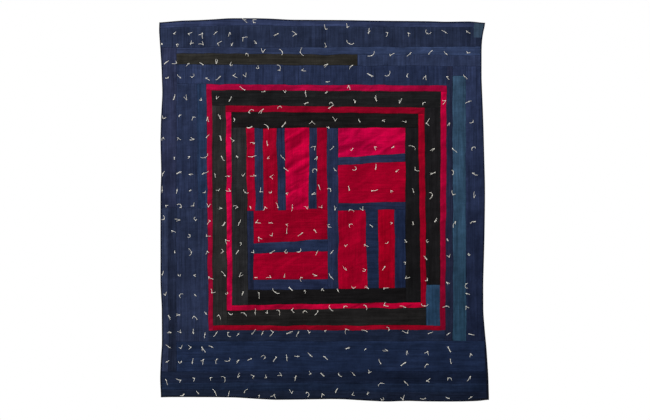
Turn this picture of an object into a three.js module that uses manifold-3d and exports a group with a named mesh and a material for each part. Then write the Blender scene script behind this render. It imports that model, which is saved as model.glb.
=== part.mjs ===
// A hand-tied patchwork quilt hung from a wall rack.
//
// Millimetres, +Z up. The origin is the middle of the rail's rear face: the wall is the plane y = 0,
// the object stands out from it towards -Y, the quilt's front faces -Y, and +X is to the right of
// someone who looks at it. A rod runs through a sleeve on the quilt's back and lies in two open
// brackets, so it lifts out upwards, and the quilt swings on it.
//
// A quad is four corners [x, z]: top left, top right, bottom right, bottom left. Where a side has
// two sizes, they are its sizes at the left and the right end, or at the top and the bottom end.

import * as THREE from 'three';
import { mergeVertices } from 'three/addons/utils/BufferGeometryUtils.js';
import Module from 'manifold-3d';

const wasm = await Module();
wasm.setup();

// ---- the quilt's outline ----
const QUILT_WIDTH = 1750;              // along the top edge
const QUILT_HEIGHT = 2030;             // down the left edge
const CORNER_OUT = 22;                 // the bottom right corner stands out sideways by this
const CORNER_DOWN = 12;                // and hangs lower by this

// ---- the quilt's layers, from the wall side to the front ----
const BACKING = 0.8;                   // cloth, also the wall of its turned-up edge
const BATTING = 6;
const PATCH = 0.8;                     // cloth of the pieced top
const LAYER_GAP = 0.3;                 // between neighbouring layers
const SEAM_GAP = 0.3;                  // between neighbouring patches

// ---- the border's bands and columns ----
const TOP_STRIP = [32, 30];
const TOP_DARK = [108, 103];
const TOP_LIGHT = [30, 49];
const TOP_BROWN = [59, 59];
const TOP_LOWER = [108, 104];
const BORDER_LEFT = [247, 259];
const BORDER_RIGHT = [204, 233];
const BORDER_BOTTOM = [361, 376];
const LEFT_OUTER = [86, 84];           // outer column of the left border
const RIGHT_INNER = [33, 42];          // columns of the right border, from the frame outwards
const RIGHT_SLATE = [70, 72];
const BOTTOM_FIRST = [60, 60];         // first band under the frame
const BOTTOM_LOWER = [138, 151];       // lowest band
const BROWN_LENGTH = 977;              // brown strip; a slate band goes on to its right
const MEND = { width: 57, height: 88 };    // patch sewn over the top right corner

// ---- the four frames round the centre, widths of each side ----
const OUTER_RED = { left: [29, 24], top: [32, 32], right: [32, 28], bottom: [27, 25] };
const OUTER_BLACK = { left: [77, 75], top: [83, 86], right: [86, 75], bottom: [81, 96] };
const INNER_RED = { left: [29, 28], top: [34, 33], right: [35, 29], bottom: [28, 28] };
const INNER_BLACK = { left: [79, 86], top: [87, 77], right: [70, 81], bottom: [81, 77] };
const SLATE_PATCH = 235;               // length of the slate piece in the outer black frame
const OUTER_BLACK_RIGHT = 1030;        // length of the black piece above it

// ---- the centre block: cut sizes of its strips, eased to fill the block ----
const CENTRE_COLUMNS = { top: [437, 62, 362], bottom: [432, 57, 365] };
const LEFT_ROWS = { left: [449, 429], right: [441, 437] };
const STRIPES = { top: [45, 46, 73, 46, 130, 43, 54], bottom: [43, 46, 76, 41, 122, 43, 57] };
const LEFT_EDGE = { top: [35, 397], bottom: [28, 404] };
const LEFT_BARS = { left: [178, 57, 143, 57], right: [165, 62, 154, 54] };
const RIGHT_ROWS = { left: [160, 41, 205, 38, 421], right: [139, 43, 219, 41, 427] };
const RIGHT_COLUMNS = { top: [146, 68, 89, 59], bottom: [159, 62, 86, 59] };

// ---- the rack ----
const RAIL = { height: 60, depth: 18, chamfer: 2.5 };
const ROD_INSET = 30;                  // rod and rail stop short of the quilt's sides by this
const ROD_RADIUS = 16;
const ROD_CHAMFER = 2;
const ROD_SEAT = 0.3;                  // rod above the lowest point of its cup
const CUP_CLEARANCE = 1;               // round the rod in its cup
const BRACKET = { width: 16, thickness: 3, fromRodEnd: 14 };
const HOOK_REACH = 13;                 // over the rail's top edge
const MATE_GAP = 0.3;                  // between pieces that bear on each other
const SCREW = { head: 4, shank: 2, headDepth: 2.2, fromWall: 4, above: 28, pilotSpare: 1 };
const WALL_HOLE = { head: 4.8, shank: 2.4, headDepth: 2.6, spacing: 812 };
const QUILT_ABOVE_ROD = 57;            // quilt's top edge above the rod's axis
const ROD_BELOW_ORIGIN = 12;

// ---- the hanging sleeve on the quilt's back ----
const SLEEVE = { thickness: 1.2, slack: 0.8, halfHeight: 34, seam: 4, fromBracket: 7 };
const LIP_CLEARANCE = 2;               // bracket lip to the quilt's back

const ARC_STEPS = 14;
const ROUND_SIDES = 48;

// ---- places worked out from the sizes above ----
const ROD_LENGTH = QUILT_WIDTH - 2 * ROD_INSET;
const CUP_INNER = ROD_RADIUS + CUP_CLEARANCE;
const CUP_OUTER = CUP_INNER + BRACKET.thickness;
const ROD_Y = -(RAIL.depth + MATE_GAP + CUP_OUTER);
const ROD_Z = -ROD_BELOW_ORIGIN;
const CUP_Z = ROD_Z + CUP_CLEARANCE - ROD_SEAT;
const BRACKET_X = ROD_LENGTH / 2 - BRACKET.fromRodEnd;
const SLEEVE_LENGTH = 2 * (BRACKET_X - BRACKET.width / 2 - SLEEVE.fromBracket);
const BACKING_FROM_ROD = CUP_OUTER + LIP_CLEARANCE;
const QUILT_THICKNESS = BACKING + BATTING + PATCH + 2 * LAYER_GAP;
const BRACKET_FRONT = -(RAIL.depth + MATE_GAP + BRACKET.thickness);
const SCREW_LENGTH = -BRACKET_FRONT - SCREW.fromWall;

const CLOTH = {
  red: 0x920222, crimson: 0xaa0234, darkRed: 0x89021f, black: 0x1e1e1e, fadedBlack: 0x292828,
  brown: 0x2b2b2c, blue: 0x242d47, navy: 0x262f47, deepNavy: 0x1b263f, lightNavy: 0x303a58,
  slate: 0x30475e, patch: 0x253d56, teal: 0x364758,
  backing: 0x232a3c, batting: 0xe6dfcc, sleeve: 0xd8d0bc,
};
const ALONG_X = new THREE.Matrix4().makeBasis(
  new THREE.Vector3(0, 1, 0), new THREE.Vector3(0, 0, 1), new THREE.Vector3(1, 0, 0));

// ---- meshes ----
function named(name, geometry, color, roughness = 0.9, metalness = 0) {
  const mesh = new THREE.Mesh(geometry, new THREE.MeshStandardMaterial({ color, roughness, metalness }));
  mesh.name = name;
  return mesh;
}

function solidOf(geometry) {
  const bare = geometry.clone();
  bare.deleteAttribute('normal');
  bare.deleteAttribute('uv');
  const merged = mergeVertices(bare, 1e-4);
  return new wasm.Manifold(new wasm.Mesh({
    numProp: 3,
    vertProperties: new Float32Array(merged.attributes.position.array),
    triVerts: new Uint32Array(merged.index.array),
  }));
}

function geometryOf(solid) {
  const mesh = solid.getMesh();
  const geometry = new THREE.BufferGeometry();
  geometry.setAttribute('position', new THREE.BufferAttribute(new Float32Array(mesh.vertProperties), 3));
  geometry.setIndex(new THREE.BufferAttribute(new Uint32Array(mesh.triVerts), 1));
  return geometry;
}

// A body without the space that the other bodies take.
function cut(geometry, ...tools) {
  return geometryOf(tools.reduce((solid, tool) => solid.subtract(solidOf(tool)), solidOf(geometry)));
}

// ---- flat shapes ----
const lerp = (a, b, t) => [a[0] + (b[0] - a[0]) * t, a[1] + (b[1] - a[1]) * t];

// Where the line a-b meets the line c-d.
function meet(a, b, c, d) {
  const ab = [b[0] - a[0], b[1] - a[1]];
  const cd = [d[0] - c[0], d[1] - c[1]];
  const t = ((c[0] - a[0]) * cd[1] - (c[1] - a[1]) * cd[0]) / (ab[0] * cd[1] - ab[1] * cd[0]);
  return lerp(a, b, t);
}

// An outline, drawn clockwise, with every side moved inwards.
function inset(points, by) {
  const sides = points.map((p, i) => {
    const q = points[(i + 1) % points.length];
    const length = Math.hypot(q[0] - p[0], q[1] - p[1]);
    const inwards = [(q[1] - p[1]) / length * by, -(q[0] - p[0]) / length * by];
    return [[p[0] + inwards[0], p[1] + inwards[1]], [q[0] + inwards[0], q[1] + inwards[1]]];
  });
  return sides.map((side, i) => meet(...sides[(i + sides.length - 1) % sides.length], ...side));
}

// A flat piece in the quilt's own plane: its rear face is at `rear` and it is `thickness` deep.
function sheet(points, rear, thickness) {
  const shape = new THREE.Shape(points.map(([x, z]) => new THREE.Vector2(x, z)));
  const geometry = new THREE.ExtrudeGeometry(shape, { depth: thickness, bevelEnabled: false });
  return geometry.rotateX(Math.PI / 2).translate(0, -rear, 0);
}

// ---- the quilt's layout ----
function shares(sizes) {
  const total = sizes.reduce((sum, size) => sum + size, 0);
  let run = 0;
  return [0, ...sizes.map((size) => (run += size) / total)];
}

// A quad cut into columns, left to right; the strips are eased to fill it.
function columns([tl, tr, br, bl], top, bottom) {
  const upper = shares(top);
  const lower = shares(bottom);
  return top.map((_, i) => [
    lerp(tl, tr, upper[i]), lerp(tl, tr, upper[i + 1]),
    lerp(bl, br, lower[i + 1]), lerp(bl, br, lower[i]),
  ]);
}

// A quad cut into rows, top to bottom.
function rows([tl, tr, br, bl], left, right) {
  const near = shares(left);
  const far = shares(right);
  return left.map((_, i) => [
    lerp(tl, bl, near[i]), lerp(tr, br, far[i]),
    lerp(tr, br, far[i + 1]), lerp(tl, bl, near[i + 1]),
  ]);
}

// Four strips round the inside of a quad, and the quad that they leave. The top strip runs the whole
// way across, the side strips run down to the bottom, and the bottom strip lies between them.
function ring([tl, tr, br, bl], { left, top, right, bottom }) {
  const inner = [
    [tl[0] + left[0], tl[1] - top[0]], [tr[0] - right[0], tr[1] - top[1]],
    [br[0] - right[1], br[1] + bottom[1]], [bl[0] + left[1], bl[1] + bottom[0]],
  ];
  const topAtLeft = meet(inner[0], inner[1], tl, bl);
  const topAtRight = meet(inner[0], inner[1], tr, br);
  const leftAtBottom = meet(inner[0], inner[3], bl, br);
  const rightAtBottom = meet(inner[1], inner[2], bl, br);
  return {
    inner,
    top: [tl, tr, topAtRight, topAtLeft],
    left: [topAtLeft, inner[0], leftAtBottom, bl],
    right: [inner[1], topAtRight, br, rightAtBottom],
    bottom: [inner[3], inner[2], rightAtBottom, leftAtBottom],
  };
}

const add = (...sizes) => [0, 1].map((end) => sizes.reduce((sum, size) => sum + size[end], 0));

function quiltOutline() {
  const half = QUILT_WIDTH / 2;
  return [
    [-half, 0], [half, 0],
    [half + CORNER_OUT, -QUILT_HEIGHT - CORNER_DOWN], [-half, -QUILT_HEIGHT],
  ];
}

// A level line across the quilt, `left` and `right` below its top corners, or above its bottom ones.
function across([tl, tr, br, bl], [left, right], fromBottom = false) {
  const [a, b] = fromBottom ? [[bl[0], bl[1] + left], [br[0], br[1] + right]]
    : [[tl[0], tl[1] - left], [tr[0], tr[1] - right]];
  return [meet(a, b, tl, bl), meet(a, b, tr, br)];
}

// A line down the quilt, moved to the right by a size at each end.
const outwards = (line, sizes) => line.map(([x, z], end) => [x + sizes[end], z]);

// The border's patches, and the quad that they leave for the frames.
function borderPatches(quilt) {
  const [tl, tr, br, bl] = quilt;
  const top = add(TOP_STRIP, TOP_DARK, TOP_LIGHT, TOP_BROWN, TOP_LOWER);
  const { inner } = ring(quilt, {
    left: BORDER_LEFT, top, right: BORDER_RIGHT, bottom: BORDER_BOTTOM,
  });
  const strip = across(quilt, TOP_STRIP);
  const dark = across(quilt, add(TOP_STRIP, TOP_DARK));
  const light = across(quilt, add(TOP_STRIP, TOP_DARK, TOP_LIGHT));
  const brown = across(quilt, add(TOP_STRIP, TOP_DARK, TOP_LIGHT, TOP_BROWN));
  const lower = across(quilt, BOTTOM_LOWER, true);
  const [, , innerRight, innerLeft] = inner;
  const first = [
    [innerLeft[0], innerLeft[1] - BOTTOM_FIRST[0]], [innerRight[0], innerRight[1] - BOTTOM_FIRST[1]],
  ];

  const column = [[tl[0] + LEFT_OUTER[0], tl[1]], [bl[0] + LEFT_OUTER[1], bl[1]]];
  const inColumn = (line) => meet(...line, ...column);
  const brownEnd = [[column[0][0] + BROWN_LENGTH, 0], [column[0][0] + BROWN_LENGTH, bl[1]]];
  const frameLeft = [inner[0], inner[3]];
  const frameRight = [inner[1], inner[2]];
  const slate = outwards(frameRight, RIGHT_INNER);
  const outer = outwards(slate, RIGHT_SLATE);
  const firstAtLeft = inColumn(first);
  const firstAtRight = meet(...first, tr, br);

  const patches = {
    border_top_strip: [CLOTH.lightNavy, [tl, tr, strip[1], strip[0]]],
    border_top_dark: [CLOTH.navy, [strip[0], strip[1], dark[1], dark[0]]],
    border_top_light: [CLOTH.lightNavy, [
      inColumn(dark), dark[1], brown[1],
      meet(...brown, ...brownEnd), meet(...light, ...brownEnd), inColumn(light),
    ]],
    border_brown_strip: [CLOTH.brown, [
      inColumn(light), meet(...light, ...brownEnd), meet(...brown, ...brownEnd), inColumn(brown),
    ]],
    border_top_lower: [CLOTH.navy, [
      inColumn(brown), meet(...brown, ...frameRight), inner[1], meet(inner[0], inner[1], ...column),
    ]],
    border_left_outer: [CLOTH.navy, [dark[0], inColumn(dark), inColumn(lower), lower[0]]],
    border_left_inner: [CLOTH.navy, [
      meet(inner[0], inner[1], ...column), inner[0], meet(...frameLeft, ...first), firstAtLeft,
    ]],
    border_right_inner: [CLOTH.navy, [
      meet(...brown, ...frameRight), meet(...brown, ...slate),
      meet(...first, ...slate), meet(...first, ...frameRight),
    ]],
    border_right_slate: [CLOTH.slate, [
      meet(...brown, ...slate), meet(...brown, ...outer), meet(...first, ...outer), meet(...first, ...slate),
    ]],
    border_right_outer: [CLOTH.navy, [
      meet(...brown, ...outer), brown[1], firstAtRight, meet(...first, ...outer),
    ]],
    border_bottom_upper: [CLOTH.deepNavy, [
      inner[3], inner[2], meet(...first, ...frameRight), firstAtRight,
      lower[1], inColumn(lower), firstAtLeft, meet(...frameLeft, ...first),
    ]],
    border_bottom_lower: [CLOTH.deepNavy, [lower[0], lower[1], br, bl]],
  };
  return { patches, inner };
}

// One frame: four strips named after it. The cloth of a side may differ from the others'.
function framePatches(name, color, quad, widths, sideColors = {}) {
  const { inner, ...sides } = ring(quad, widths);
  const patches = Object.fromEntries(Object.entries(sides).map(([side, corners]) => (
    [`${name}_${side}`, [sideColors[side] ?? color, corners]])));
  return { patches, inner };
}

// The right side of the outer black frame ends in a piece of another cloth.
function splitOffSlate(patches) {
  const sizes = [OUTER_BLACK_RIGHT, SLATE_PATCH];
  const [color, corners] = patches.outer_black_right;
  const [black, slate] = rows(corners, sizes, sizes);
  return { ...patches, outer_black_right: [color, black], slate_patch: [CLOTH.patch, slate] };
}

function centrePatches(quad) {
  const [leftBlock, sash, rightBlock] = columns(quad, CENTRE_COLUMNS.top, CENTRE_COLUMNS.bottom);
  const [stripeBlock, barBlock] = rows(leftBlock, LEFT_ROWS.left, LEFT_ROWS.right);
  const stripes = columns(stripeBlock, STRIPES.top, STRIPES.bottom);
  const [edge, bars] = columns(barBlock, LEFT_EDGE.top, LEFT_EDGE.bottom);
  const [redUpper, barUpper, redLower, barLower] = rows(bars, LEFT_BARS.left, LEFT_BARS.right);
  const [crimson, blueUpper, red, blueLower, foot] = rows(rightBlock, RIGHT_ROWS.left, RIGHT_ROWS.right);
  const feet = columns(foot, RIGHT_COLUMNS.top, RIGHT_COLUMNS.bottom);
  return {
    centre_stripe_red_1: [CLOTH.red, stripes[0]],
    centre_stripe_blue_1: [CLOTH.blue, stripes[1]],
    centre_stripe_red_2: [CLOTH.red, stripes[2]],
    centre_stripe_blue_2: [CLOTH.blue, stripes[3]],
    centre_stripe_crimson: [CLOTH.crimson, stripes[4]],
    centre_stripe_blue_3: [CLOTH.blue, stripes[5]],
    centre_stripe_red_3: [CLOTH.darkRed, stripes[6]],
    centre_left_edge_blue: [CLOTH.blue, edge],
    centre_left_red_upper: [CLOTH.red, redUpper],
    centre_left_bar_upper: [CLOTH.blue, barUpper],
    centre_left_red_lower: [CLOTH.red, redLower],
    centre_left_bar_lower: [CLOTH.blue, barLower],
    centre_sash: [CLOTH.blue, sash],
    centre_right_crimson: [CLOTH.crimson, crimson],
    centre_right_bar_upper: [CLOTH.blue, blueUpper],
    centre_right_red: [CLOTH.red, red],
    centre_right_bar_lower: [CLOTH.blue, blueLower],
    centre_foot_red_1: [CLOTH.red, feet[0]],
    centre_foot_blue_1: [CLOTH.blue, feet[1]],
    centre_foot_red_2: [CLOTH.red, feet[2]],
    centre_foot_blue_2: [CLOTH.blue, feet[3]],
  };
}

// ---- the quilt ----
const TOP_REAR = BACKING + LAYER_GAP + BATTING + LAYER_GAP;    // rear face of the pieced top

function patchwork(quilt) {
  const border = borderPatches(quilt);
  const outerRed = framePatches('outer_red', CLOTH.red, border.inner, OUTER_RED);
  const faded = { left: CLOTH.fadedBlack };
  const outerBlack = framePatches('outer_black', CLOTH.black, outerRed.inner, OUTER_BLACK, faded);
  const innerRed = framePatches('inner_red', CLOTH.crimson, outerBlack.inner, INNER_RED);
  const innerBlack = framePatches('inner_black', CLOTH.black, innerRed.inner, INNER_BLACK, faded);
  const all = {
    ...border.patches, ...outerRed.patches, ...splitOffSlate(outerBlack.patches),
    ...innerRed.patches, ...innerBlack.patches, ...centrePatches(innerBlack.inner),
  };
  return Object.entries(all).map(([name, [color, corners]]) => (
    named(name, sheet(inset(corners, SEAM_GAP / 2), TOP_REAR, PATCH), color)));
}

// The mend lies on the finished top, over its upper right corner.
function cornerMend([, tr]) {
  const corner = [tr[0] - SEAM_GAP, tr[1] - SEAM_GAP];
  const left = corner[0] - MEND.width;
  const bottom = corner[1] - MEND.height;
  const outline = [[left, corner[1]], corner, [corner[0], bottom], [left, bottom]];
  return named('border_corner_mend', sheet(outline, TOP_REAR + PATCH + LAYER_GAP, PATCH), CLOTH.teal);
}

// The backing's edge is turned up round the batting and the pieced top, like a shallow tray.
function backing(outline, contents) {
  const tray = sheet(outline, 0, QUILT_THICKNESS);
  const pocket = sheet(inset(contents, -LAYER_GAP), BACKING, 2 * QUILT_THICKNESS);
  return named('backing', cut(tray, pocket), CLOTH.backing);
}

function batting(contents) {
  return named('batting', sheet(contents, BACKING + LAYER_GAP, BATTING), CLOTH.batting, 1);
}

// The tube's section: round behind the rod, and pointed where it is sewn down above and below it.
// It is drawn with the rod's axis at 0, and -Y towards the quilt.
function sleeveSection(radius, front, halfHeight) {
  const reach = Math.hypot(front, halfHeight);
  const touch = Math.atan2(halfHeight, front) + Math.acos(radius / reach);
  const shape = new THREE.Path();
  shape.moveTo(-front, halfHeight);
  shape.lineTo(-front, -halfHeight);
  shape.absarc(0, 0, radius, touch - Math.PI, Math.PI - touch, false);
  shape.closePath();
  return shape.getPoints(ARC_STEPS);
}

function sleeve() {
  const radius = ROD_RADIUS + SLEEVE.slack;
  const front = BACKING_FROM_ROD - LAYER_GAP;
  const outside = new THREE.Shape(
    sleeveSection(radius + SLEEVE.thickness, front, SLEEVE.halfHeight + SLEEVE.seam));
  outside.holes.push(new THREE.Path(
    sleeveSection(radius, front - SLEEVE.thickness, SLEEVE.halfHeight - SLEEVE.seam)));
  const geometry = new THREE.ExtrudeGeometry(outside, { depth: SLEEVE_LENGTH, bevelEnabled: false });
  geometry.translate(0, 0, -SLEEVE_LENGTH / 2).applyMatrix4(ALONG_X);
  const mesh = named('hanging_sleeve', geometry, CLOTH.sleeve);
  mesh.position.set(0, ROD_Y, ROD_Z);
  return mesh;
}

function quilt() {
  const outline = quiltOutline();
  const contents = inset(outline, BACKING + LAYER_GAP);
  const layers = new THREE.Group();
  layers.position.set(0, ROD_Y - BACKING_FROM_ROD, ROD_Z + QUILT_ABOVE_ROD);
  layers.add(backing(outline, contents), batting(contents), ...patchwork(contents), cornerMend(contents));
  const group = new THREE.Group();
  group.add(layers, sleeve());
  return group;
}

// ---- the rack ----
function rod() {
  const half = ROD_LENGTH / 2;
  const edge = ROD_RADIUS - ROD_CHAMFER;
  const profile = [
    [0, -half], [edge, -half], [ROD_RADIUS, ROD_CHAMFER - half],
    [ROD_RADIUS, half - ROD_CHAMFER], [edge, half], [0, half],
  ].map(([r, along]) => new THREE.Vector2(r, along));
  const mesh = named('rod', new THREE.LatheGeometry(profile, ROUND_SIDES), 0xb88a58, 0.6);
  mesh.rotation.z = Math.PI / 2;
  mesh.position.set(0, ROD_Y, ROD_Z);
  return mesh;
}

// A countersunk screw that points at the wall, or the hole for it when it is made larger by `spare`.
// `front` is the y of the face that its head is flush with.
function countersunk({ head, shank, headDepth }, length, spare, front) {
  const profile = [
    [0, 0], [head + spare, 0], [shank + spare, headDepth], [shank + spare, length], [0, length],
  ].map(([r, along]) => new THREE.Vector2(r, front + along));
  return new THREE.LatheGeometry(profile, ROUND_SIDES / 2);
}

function bracketScrew(name, x) {
  const geometry = countersunk(SCREW, SCREW_LENGTH, 0, BRACKET_FRONT + MATE_GAP / 2);
  const mesh = named(name, geometry, 0xb9bbbd, 0.35, 0.9);
  mesh.position.set(x, 0, CUP_Z + SCREW.above);
  return mesh;
}

// A strap that hooks over the rail's top, runs down its face and curls under the rod.
function bracket(name, x) {
  const back = -(RAIL.depth + MATE_GAP);
  const front = BRACKET_FRONT;
  const top = RAIL.height / 2 + MATE_GAP;
  const lip = BRACKET.thickness / 2;
  const strap = new THREE.Shape();
  strap.moveTo(back, CUP_Z);
  strap.lineTo(back, top);
  strap.lineTo(back + HOOK_REACH, top);
  strap.lineTo(back + HOOK_REACH, top + BRACKET.thickness);
  strap.lineTo(front, top + BRACKET.thickness);
  strap.lineTo(front, CUP_Z);
  strap.absarc(ROD_Y, CUP_Z, CUP_INNER, 0, -Math.PI, true);
  strap.absarc(ROD_Y - CUP_INNER - lip, CUP_Z, lip, 0, Math.PI, false);
  strap.absarc(ROD_Y, CUP_Z, CUP_OUTER, -Math.PI, 0, false);
  const geometry = new THREE.ExtrudeGeometry(strap, {
    depth: BRACKET.width, bevelEnabled: false, curveSegments: ARC_STEPS,
  });
  geometry.translate(0, 0, x - BRACKET.width / 2).applyMatrix4(ALONG_X);
  const hole = countersunk(SCREW, SCREW_LENGTH, MATE_GAP, front - MATE_GAP / 2);
  hole.translate(x, 0, CUP_Z + SCREW.above);
  return named(name, cut(geometry, hole), 0x8d9094, 0.4, 0.9);
}

function rail() {
  const { height, depth, chamfer } = RAIL;
  const section = new THREE.Shape([
    [0, -height / 2], [0, height / 2], [chamfer - depth, height / 2], [-depth, height / 2 - chamfer],
    [-depth, chamfer - height / 2], [chamfer - depth, -height / 2],
  ].map(([y, z]) => new THREE.Vector2(y, z)));
  const board = new THREE.ExtrudeGeometry(section, { depth: ROD_LENGTH, bevelEnabled: false });
  board.translate(0, 0, -ROD_LENGTH / 2).applyMatrix4(ALONG_X);

  const pilotRadius = SCREW.shank + MATE_GAP;
  const pilotDepth = depth - SCREW.fromWall + SCREW.pilotSpare;
  const pilots = [-BRACKET_X, BRACKET_X].map((x) => (
    new THREE.CylinderGeometry(pilotRadius, pilotRadius, 2 * pilotDepth, ROUND_SIDES / 2)
      .translate(x, -depth, CUP_Z + SCREW.above)));
  const wallHoles = [-WALL_HOLE.spacing / 2, WALL_HOLE.spacing / 2].map((x) => (
    countersunk(WALL_HOLE, 2 * depth, 0, -depth - MATE_GAP).translate(x, 0, 0)));
  return named('wall_rail', cut(board, ...pilots, ...wallHoles), 0xc9a878, 0.65);
}

function rack() {
  const group = new THREE.Group();
  group.add(rail());
  for (const [side, x] of [['left', -BRACKET_X], ['right', BRACKET_X]]) {
    group.add(bracket(`bracket_${side}`, x), bracketScrew(`bracket_screw_${side}`, x));
  }
  return group;
}

const model = new THREE.Group();
model.add(rack(), rod(), quilt());
export default model;
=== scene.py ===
import math
import random

import bpy
import numpy as np
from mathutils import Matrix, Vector


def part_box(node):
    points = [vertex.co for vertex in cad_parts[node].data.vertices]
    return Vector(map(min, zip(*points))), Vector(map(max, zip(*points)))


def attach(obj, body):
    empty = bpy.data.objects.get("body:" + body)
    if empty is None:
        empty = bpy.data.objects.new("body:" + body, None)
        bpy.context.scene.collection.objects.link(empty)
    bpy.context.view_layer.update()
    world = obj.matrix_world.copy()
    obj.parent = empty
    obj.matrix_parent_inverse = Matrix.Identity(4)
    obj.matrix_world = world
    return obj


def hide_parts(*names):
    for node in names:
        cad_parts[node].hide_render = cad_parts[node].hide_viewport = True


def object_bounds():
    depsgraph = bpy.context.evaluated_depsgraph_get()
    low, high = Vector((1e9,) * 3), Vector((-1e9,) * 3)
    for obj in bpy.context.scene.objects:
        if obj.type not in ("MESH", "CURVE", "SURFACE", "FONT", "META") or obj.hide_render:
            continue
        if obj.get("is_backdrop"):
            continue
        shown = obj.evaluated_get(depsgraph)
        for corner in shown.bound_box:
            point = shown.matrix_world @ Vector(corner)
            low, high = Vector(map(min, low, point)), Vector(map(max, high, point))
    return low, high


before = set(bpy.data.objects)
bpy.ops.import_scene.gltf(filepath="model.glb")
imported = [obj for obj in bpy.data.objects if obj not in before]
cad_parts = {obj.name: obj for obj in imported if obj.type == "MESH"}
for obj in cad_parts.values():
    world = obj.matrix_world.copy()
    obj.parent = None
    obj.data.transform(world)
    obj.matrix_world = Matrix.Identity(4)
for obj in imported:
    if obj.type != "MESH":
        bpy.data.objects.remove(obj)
cad_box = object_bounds()

# A hand-tied patchwork quilt that hangs from a wall rack. Metres, +Z up. The wall is the plane
# y = 0 and the quilt's front faces -Y. The pieced top, the batting and the backing share one
# surface: a place in the flat layout is (x, z), and its depth is how far it stands forward of
# the flat quilt.

MM = 0.001

# ---- camera ----
LENS, SENSOR = 100, 36
PICTURE_WIDTH = 3.51                      # what the picture takes in at the quilt
CAMERA_ASIDE = (2.5 * MM, 3 * MM)         # camera right of, and above, the model's middle

# ---- lights: place, size in metres, watts ----
LIGHTS_AIM = (0, 0, -.95)                 # the quilt's middle
LIGHTS = {
    "key": ((-3.4, -3.6, 1.6), 1.6, 118),
    "fill": ((3.6, -4.2, -.4), 2.4, 44),
    "back": ((-2.2, 3.2, 1.2), 2.4, 60),
}
AMBIENT = .62
FLOOR_DROP = .36                          # floor below the quilt
FLOOR_SIDES = ((-2.2, 2.2), (-2.2, 1.2))  # x and y

# ---- the quilt's edges, each a list of (share of the way along, how far out or up) in mm ----
LEFT_WAVE = [(0, -5), (.02, -8), (.06, -2), (.12, 6), (.19, 11), (.26, 3), (.32, 0), (.4, 4),
             (.46, 0), (.7, 0), (.76, 7), (.86, 8), (.9, 2), (.95, -2), (1, 3)]
RIGHT_WAVE = [(0, 4), (.036, -12), (.065, -18), (.15, -20), (.21, -16), (.28, -12), (.43, -7),
              (.48, -8), (.58, -13), (.69, -22), (.77, -23), (.82, -16), (.86, -9), (.94, 0), (1, 2)]
TOP_WAVE = [(0, -6), (.06, 4), (.12, 7), (.16, 11), (.21, 17), (.3, 17), (.34, 15), (.4, 9),
            (.57, 7), (.66, 4), (.83, 1), (.88, -2), (.96, 0), (.985, -6), (1, -8)]
BOTTOM_WAVE = [(0, 0), (.02, 2), (.17, 4), (.23, 2), (.29, -5), (.35, -9), (.42, -7), (.52, -2),
               (.56, -3), (.62, -10), (.69, -15), (.75, -10), (.8, -12), (.92, -11), (.97, -8), (1, 0)]
WAVE_REACH = 90 * MM                      # an edge's wave dies out this far into the quilt
WANDER = 1.6 * MM                         # how far a seam strays from its straight line

# ---- the quilt's body ----
# slow folds: (depth, distance apart, start, lean on the way down)
UPRIGHT_FOLDS = [(4.5 * MM, .66, .6, .9), (2.6 * MM, .31, -1.2, 1.7)]
LEVEL_FOLDS = (1.2 * MM, .43)
HANG_BACK = 6 * MM                        # the quilt's foot hangs this much nearer to the wall
FORWARD_LIMIT = 8 * MM
SOFT_STOP = .5 * MM                       # how gently the top comes up to that limit
LOFT = 7 * MM                             # how far the batting can push the top out
BACK_LOFT = 1.6 * MM
CRUMPLE = (.6 * MM, .25 * MM)             # coarse and fine
# small shapes: (height or depth, how far it reaches)
PLEAT = (1.5 * MM, 20 * MM)               # pleats that run out from a tie
KNOT_DIMPLE = (1.2 * MM, 6 * MM)
BACK_DIMPLE = (1.4 * MM, 14 * MM)
EDGE_TAPER = (2.6 * MM, 8 * MM)           # cloth drawn down at the quilt's edge
DITCH = (2.0 * MM, 2.4 * MM)              # seam below the cloth beside it
WIDE_DITCH = (.9 * MM, 9 * MM)            # and the shallow dip round it
PUCKER, PUCKER_APART = (.32 * MM, 8 * MM), 12.5 * MM
RIDGE, RIDGE_FROM_SEAM = (.5 * MM, 4 * MM), 7 * MM  # over the turned-in cloth
WORN = 4 * MM                             # from a seam to the fold that rubs most
SEAM_CLOSED = .15 * MM                    # patches grow by this, to meet at the middle of a seam
MEND_PROUD = 1.1 * MM                     # the corner mend above the patches under it
TIE_DIMPLE = 3.2 * MM                     # top drawn in at a tie
CLOTH = 0.8 * MM
THINNEST = 2.4 * MM                       # the quilt where a tie pulls it together
PATCH_STEP = 6 * MM
SIM_STEP = 12 * MM
SIM_FRAMES = 24
SPARE_CLOTH = .03                         # the top is this much larger than the space that it fills
PUSH = (0, -5, -4)                        # the batting's push to the front, and the top's weight

HEM_PROUD = 1.0 * MM
WIDE_HEM, WIDE_FROM = 2, .84              # the right side's hem is twice as wide from this share down
# the turned edge, step by step: (how far inside the quilt's outline, share of the way to the front)
HEM_TURN = [(1.6 * MM, 0), (.5 * MM, .08), (-.2 * MM, .3), (-.4 * MM, .5), (-.2 * MM, .7),
            (.5 * MM, .93), (1.6 * MM, 1), (3 * MM, 1), (4.6 * MM, 1), (5.6 * MM, .9)]
SLEEVE_CLOTH = .5 * MM
SLEEVE_EASE = 1.1 * MM                    # cloth and air round the rod
FRONT = np.array([0, -1, 0])

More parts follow.
